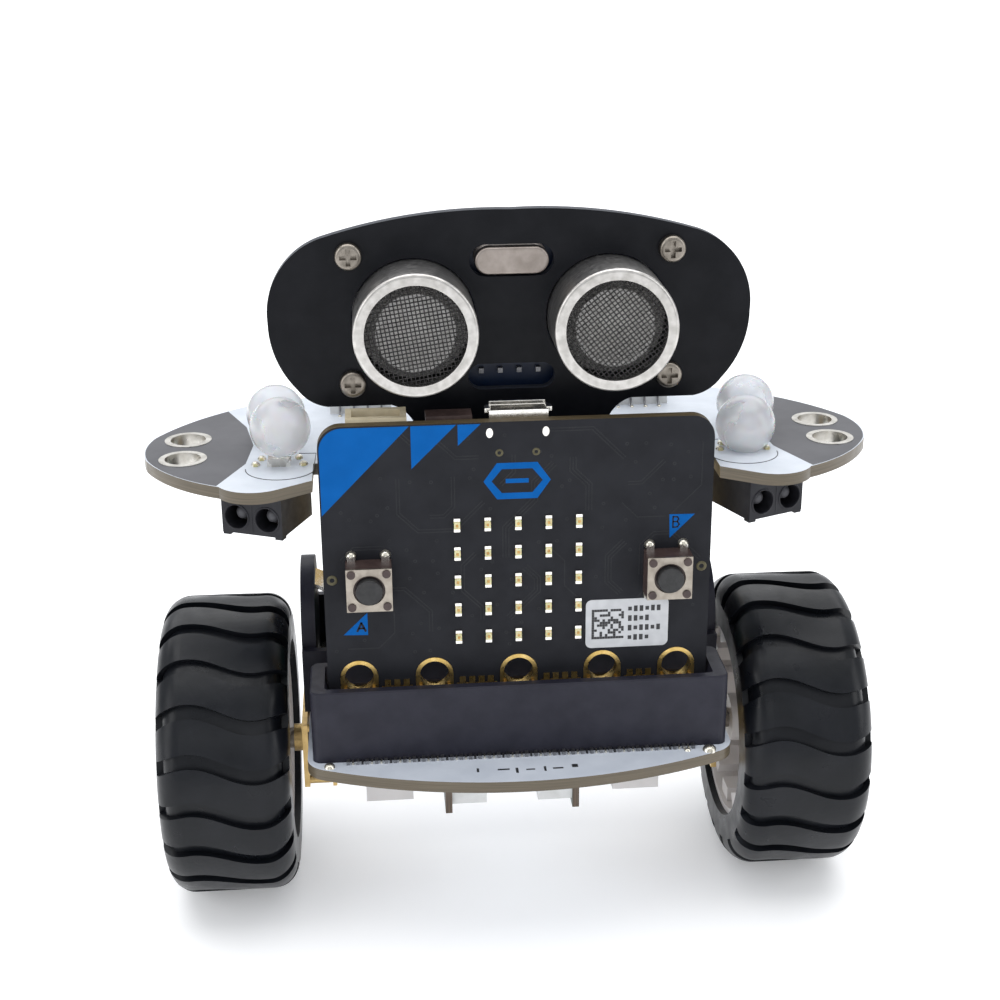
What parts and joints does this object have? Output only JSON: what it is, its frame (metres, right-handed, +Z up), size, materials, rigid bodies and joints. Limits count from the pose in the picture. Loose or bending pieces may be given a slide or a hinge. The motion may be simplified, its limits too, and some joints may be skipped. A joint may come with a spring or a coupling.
{
  "type": "two wheel robot car",
  "caption": "Upright self-balancing robot car: stacked boards between two wheels, an upright control board in front and a mask-shaped face with a distance sensor.",
  "frame": {"origin": "on the floor under the middle of the robot's box, with the wheels standing on the floor", "axes": "+Z up; the face, the control board and the lights look along -Y; +X is on the right when looking at the face; the wheel axle runs along X"},
  "size_m": [0.0992, 0.0493, 0.1004],
  "materials": {
    "white_board": "white solder mask over glass laminate",
    "control_board": "dark solder mask with blue print",
    "sensor_board": "blue solder mask",
    "face_plate": "black solder mask",
    "encoder_board": "dark green board",
    "black_plastic": "satin moulded plastic",
    "terminal_plastic": "satin moulded plastic",
    "cream_plastic": "nylon",
    "white_plastic": "nylon",
    "brown_plastic": "moulded",
    "chip_plastic": "matt epoxy",
    "frosted": "frosted",
    "led_lens": "clear",
    "cell_wrap": "shrink film",
    "gold": "gold plating",
    "brass": "machined",
    "steel": "plated",
    "dark_steel": "plated",
    "tin": "bright plating",
    "can_aluminium": "satin",
    "mesh_wire": "blackened wire",
    "cone_metal": "satin",
    "tyre_rubber": "satin rubber"
  },
  "bodies": {
    "chassis": {"battery_cell": "cell_wrap", "battery_connector": "cream_plastic", "battery_contacts": "tin", "battery_holder": "black_plastic", "board_contacts": "gold", "board_screws": "steel", "button_bodies": "brown_plastic", "button_covers": "steel", "circuit_chips": "chip_plastic", "contact_domes": "steel", "control_board": "control_board", "crystal_can": "tin", "ear_hole_rims": "tin", "edge_socket": "black_plastic", "encoder_boards": "encoder_board", "face_nuts": "steel", "face_plate": "face_plate", "face_screws": "tin", "face_spacers": "white_plastic", "header_pins": "gold", "led_matrix": "led_lens", "left_gearbox_frame": "brass", "left_motor_can": "steel", "left_sensor_can": "can_aluminium", "left_terminal": "terminal_plastic", "light_domes": "frosted", "lower_board": "white_board", "motor_brackets": "white_plastic", "motor_end_caps": "white_plastic", "power_switch_body": "black_plastic", "reset_body": "brown_plastic", "rgb_leds": "led_lens", "right_gearbox_frame": "brass", "right_motor_can": "steel", "right_sensor_can": "can_aluminium", "right_terminal": "terminal_plastic", "sensor_board": "sensor_board", "sensor_cones": "cone_metal", "sensor_header": "black_plastic", "sensor_meshes": "mesh_wire", "socket_pins": "tin", "standoffs": "brass", "terminal_screws": "steel", "upper_board": "white_board", "usb_port": "tin", "wire_connectors": "cream_plastic"},
    "left_wheel": {"left_output_shaft": "steel", "left_rim": "white_plastic", "left_tyre": "tyre_rubber"},
    "right_wheel": {"right_output_shaft": "steel", "right_rim": "white_plastic", "right_tyre": "tyre_rubber"},
    "left_idler": {"left_idler_gear": "brass"},
    "right_idler": {"right_idler_gear": "brass"},
    "left_motor_rotor": {"left_rotor": "dark_steel"},
    "right_motor_rotor": {"right_rotor": "dark_steel"},
    "button_a": {"button_a_plunger": "black_plastic"},
    "button_b": {"button_b_plunger": "black_plastic"},
    "reset_button": {"reset_plunger": "black_plastic"},
    "switch_slider": {"power_switch_slider": "black_plastic"}
  },
  "joints": [
    {"name": "left_wheel_spin", "type": "hinge", "parent": "chassis", "child": "left_wheel", "pos_m": [-0.041, 0.00315, 0.0215], "axis": [1, 0, 0], "continuous": true},
    {"name": "left_rotor_spin", "type": "hinge", "parent": "chassis", "child": "left_motor_rotor", "pos_m": [-0.017, 0.00315, 0.0215], "axis": [1, 0, 0], "continuous": true},
    {"name": "left_idler_spin", "type": "hinge", "parent": "chassis", "child": "left_idler", "pos_m": [-0.026, 0.00615, 0.02375], "axis": [1, 0, 0], "continuous": true},
    {"name": "right_wheel_spin", "type": "hinge", "parent": "chassis", "child": "right_wheel", "pos_m": [0.041, 0.00315, 0.0215], "axis": [1, 0, 0], "continuous": true},
    {"name": "right_rotor_spin", "type": "hinge", "parent": "chassis", "child": "right_motor_rotor", "pos_m": [0.017, 0.00315, 0.0215], "axis": [1, 0, 0], "continuous": true},
    {"name": "right_idler_spin", "type": "hinge", "parent": "chassis", "child": "right_idler", "pos_m": [0.026, 0.00615, 0.02375], "axis": [1, 0, 0], "continuous": true},
    {"name": "button_a_press", "type": "slide", "parent": "chassis", "child": "button_a", "axis": [0, 1, 0], "range_m": [0, 0.00025], "stiffness_N_per_m": 1000},
    {"name": "button_b_press", "type": "slide", "parent": "chassis", "child": "button_b", "axis": [0, 1, 0], "range_m": [0, 0.00025], "stiffness_N_per_m": 1000},
    {"name": "reset_press", "type": "slide", "parent": "chassis", "child": "reset_button", "axis": [0, -1, 0], "range_m": [0, 0.00025], "stiffness_N_per_m": 1000},
    {"name": "power_switch_slide", "type": "slide", "parent": "chassis", "child": "switch_slider", "axis": [1, 0, 0], "range_m": [0, 0.002]}
  ],
  "couplings": [
    {"joint": "left_rotor_spin", "follows": "left_wheel_spin", "ratio": 4},
    {"joint": "left_idler_spin", "follows": "left_wheel_spin", "ratio": -2},
    {"joint": "right_rotor_spin", "follows": "right_wheel_spin", "ratio": 4},
    {"joint": "right_idler_spin", "follows": "right_wheel_spin", "ratio": -2}
  ]
}
